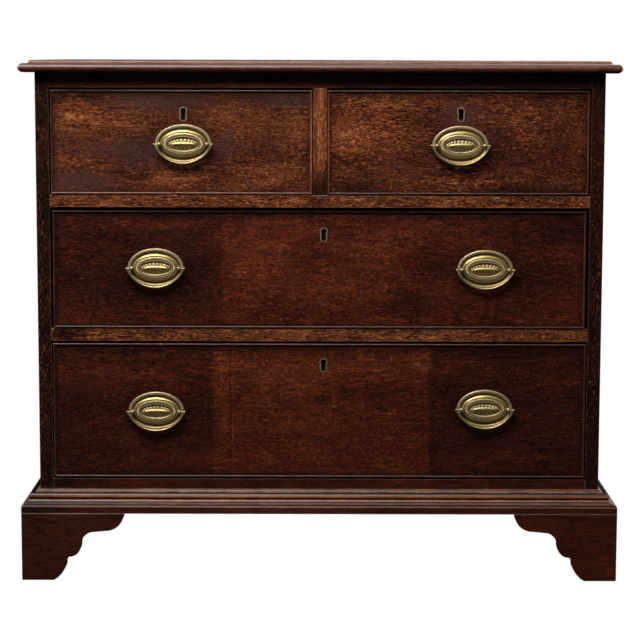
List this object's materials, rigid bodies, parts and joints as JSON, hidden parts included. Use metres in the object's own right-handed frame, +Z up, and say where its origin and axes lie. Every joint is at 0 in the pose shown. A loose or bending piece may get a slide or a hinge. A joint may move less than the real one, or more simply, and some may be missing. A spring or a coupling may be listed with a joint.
{
  "type": "bachelors chest",
  "caption": "Mahogany bachelors chest on bracket feet, with short and long cock-beaded drawers, oval bail pulls and locks, in a case with a moulded top and base.",
  "frame": {"origin": "middle of the footprint, on the floor", "axes": "+X to the right as seen from the front, +Y from the front to the back, +Z up; the front faces -Y"},
  "size_m": [0.928, 0.481, 0.8068],
  "materials": {
    "mahogany": "waxed polish",
    "oak": "bare, aged",
    "pine": "bare, aged",
    "brass": "aged",
    "liner_brass": "dull",
    "lock_iron": "rusted"
  },
  "bodies": {
    "carcass": {"top_board": "mahogany", "left_side": "mahogany", "right_side": "mahogany", "bottom_board": "pine", "back_boards": "pine", "top_rail": "mahogany", "upper_rail": "mahogany", "lower_rail": "mahogany", "bottom_rail": "mahogany", "centre_muntin": "mahogany", "dust_boards": "pine", "runners_and_kickers": "pine", "drawer_stops": "pine", "base_moulding": "mahogany", "front_left_foot": "mahogany", "front_right_foot": "mahogany", "rear_feet": "mahogany", "glue_blocks": "pine"},
    "top_left_drawer": {"top_left_drawer_front": "mahogany", "top_left_drawer_box": "oak", "top_left_drawer_panel": "oak", "top_left_drawer_beads": "mahogany", "top_left_drawer_escutcheon": "liner_brass", "top_left_drawer_lock": "lock_iron", "top_left_drawer_plates": "brass", "top_left_drawer_posts": "brass"},
    "top_left_bolt": {"top_left_drawer_bolt": "lock_iron"},
    "top_left_bail": {"top_left_bail": "brass"},
    "top_right_drawer": {"top_right_drawer_front": "mahogany", "top_right_drawer_box": "oak", "top_right_drawer_panel": "oak", "top_right_drawer_beads": "mahogany", "top_right_drawer_escutcheon": "liner_brass", "top_right_drawer_lock": "lock_iron", "top_right_drawer_plates": "brass", "top_right_drawer_posts": "brass"},
    "top_right_bolt": {"top_right_drawer_bolt": "lock_iron"},
    "top_right_bail": {"top_right_bail": "brass"},
    "middle_drawer": {"middle_drawer_front": "mahogany", "middle_drawer_box": "oak", "middle_drawer_panel": "oak", "middle_drawer_beads": "mahogany", "middle_drawer_escutcheon": "liner_brass", "middle_drawer_lock": "lock_iron", "middle_drawer_plates": "brass", "middle_drawer_posts": "brass"},
    "middle_bolt": {"middle_drawer_bolt": "lock_iron"},
    "middle_left_bail": {"middle_left_bail": "brass"},
    "middle_right_bail": {"middle_right_bail": "brass"},
    "bottom_drawer": {"bottom_drawer_front": "mahogany", "bottom_drawer_box": "oak", "bottom_drawer_panel": "oak", "bottom_drawer_beads": "mahogany", "bottom_drawer_escutcheon": "liner_brass", "bottom_drawer_lock": "lock_iron", "bottom_drawer_plates": "brass", "bottom_drawer_posts": "brass"},
    "bottom_bolt": {"bottom_drawer_bolt": "lock_iron"},
    "bottom_left_bail": {"bottom_left_bail": "brass"},
    "bottom_right_bail": {"bottom_right_bail": "brass"}
  },
  "joints": [
    {"name": "top_left_drawer_slide", "type": "slide", "parent": "carcass", "child": "top_left_drawer", "axis": [0, -1, 0], "range_m": [0, 0.34]},
    {"name": "top_left_bolt_throw", "type": "slide", "parent": "top_left_drawer", "child": "top_left_bolt", "axis": [0, 0, 1], "range_m": [0, 0.008]},
    {"name": "top_left_bail_swing", "type": "hinge", "parent": "top_left_drawer", "child": "top_left_bail", "pos_m": [-0.21, -0.2225, 0.6788], "axis": [-1, 0, 0], "range_deg": [0, 150]},
    {"name": "top_right_drawer_slide", "type": "slide", "parent": "carcass", "child": "top_right_drawer", "axis": [0, -1, 0], "range_m": [0, 0.34]},
    {"name": "top_right_bolt_throw", "type": "slide", "parent": "top_right_drawer", "child": "top_right_bolt", "axis": [0, 0, 1], "range_m": [0, 0.008]},
    {"name": "top_right_bail_swing", "type": "hinge", "parent": "top_right_drawer", "child": "top_right_bail", "pos_m": [0.2159, -0.2225, 0.6773], "axis": [-1, 0, 0], "range_deg": [0, 150]},
    {"name": "middle_drawer_slide", "type": "slide", "parent": "carcass", "child": "middle_drawer", "axis": [0, -1, 0], "range_m": [0, 0.34]},
    {"name": "middle_bolt_throw", "type": "slide", "parent": "middle_drawer", "child": "middle_bolt", "axis": [0, 0, 1], "range_m": [0, 0.008]},
    {"name": "middle_left_bail_swing", "type": "hinge", "parent": "middle_drawer", "child": "middle_left_bail", "pos_m": [-0.2538, -0.2225, 0.4877], "axis": [-1, 0, 0], "range_deg": [0, 150]},
    {"name": "middle_right_bail_swing", "type": "hinge", "parent": "middle_drawer", "child": "middle_right_bail", "pos_m": [0.256, -0.2225, 0.4861], "axis": [-1, 0, 0], "range_deg": [0, 150]},
    {"name": "bottom_drawer_slide", "type": "slide", "parent": "carcass", "child": "bottom_drawer", "axis": [0, -1, 0], "range_m": [0, 0.34]},
    {"name": "bottom_bolt_throw", "type": "slide", "parent": "bottom_drawer", "child": "bottom_bolt", "axis": [0, 0, 1], "range_m": [0, 0.008]},
    {"name": "bottom_left_bail_swing", "type": "hinge", "parent": "bottom_drawer", "child": "bottom_left_bail", "pos_m": [-0.2543, -0.2225, 0.2634], "axis": [-1, 0, 0], "range_deg": [0, 150]},
    {"name": "bottom_right_bail_swing", "type": "hinge", "parent": "bottom_drawer", "child": "bottom_right_bail", "pos_m": [0.2575, -0.2225, 0.2676], "axis": [-1, 0, 0], "range_deg": [0, 150]}
  ]
}
